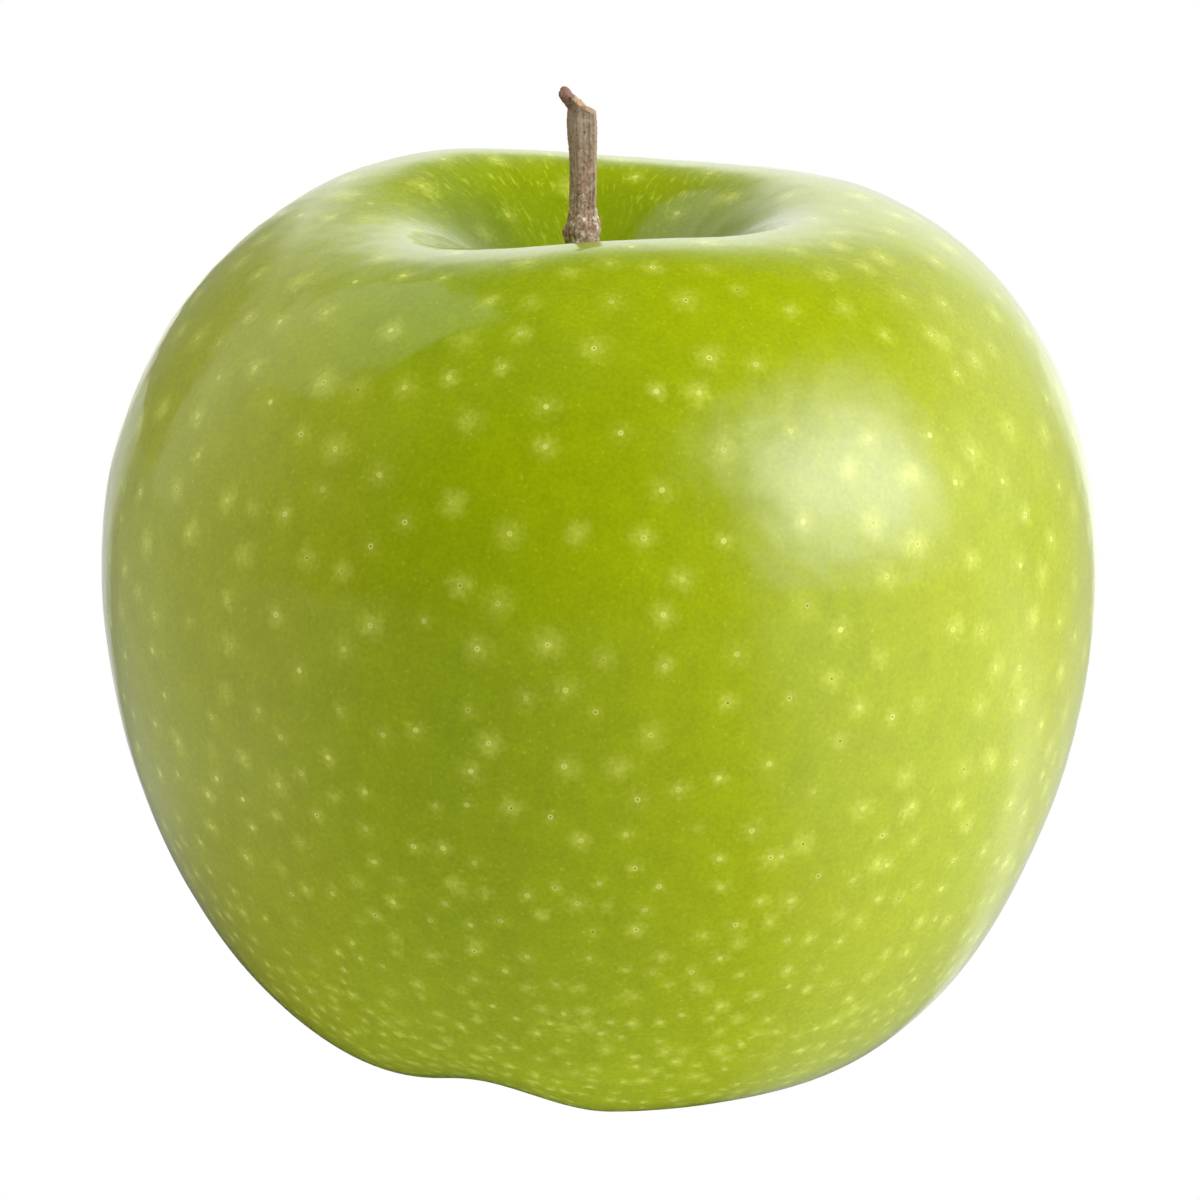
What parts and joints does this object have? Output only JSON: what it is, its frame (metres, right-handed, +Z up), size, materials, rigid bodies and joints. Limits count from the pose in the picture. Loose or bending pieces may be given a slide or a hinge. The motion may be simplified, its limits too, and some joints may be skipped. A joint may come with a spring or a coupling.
{
  "type": "green apple",
  "caption": "Whole fresh green apple standing on its lobed base, with a deep stem cavity, a woody stem with a broken bud spur, and a dry calyx with withered stamens in the basin underneath.",
  "frame": {"origin": "on the surface that the apple rests on, under the middle of the fruit", "axes": "+Z up along the core towards the stem, -Y the front, +X to the right seen from the front"},
  "size_m": [0.0821, 0.0823, 0.0819],
  "materials": {
    "apple_skin": "waxy yellow-green fruit skin, smooth and softly glossy, with pale dots",
    "stem_bark": "dry grey-brown bark, rough, pale and scurfy at the base",
    "dry_sepals": "dry papery brown with a faint pale down",
    "dry_stamens": "withered dark brown threads"
  },
  "bodies": {
    "root": {"fruit": "apple_skin", "stem": "stem_bark", "calyx": "dry_sepals", "stamens": "dry_stamens"}
  },
  "joints": []
}
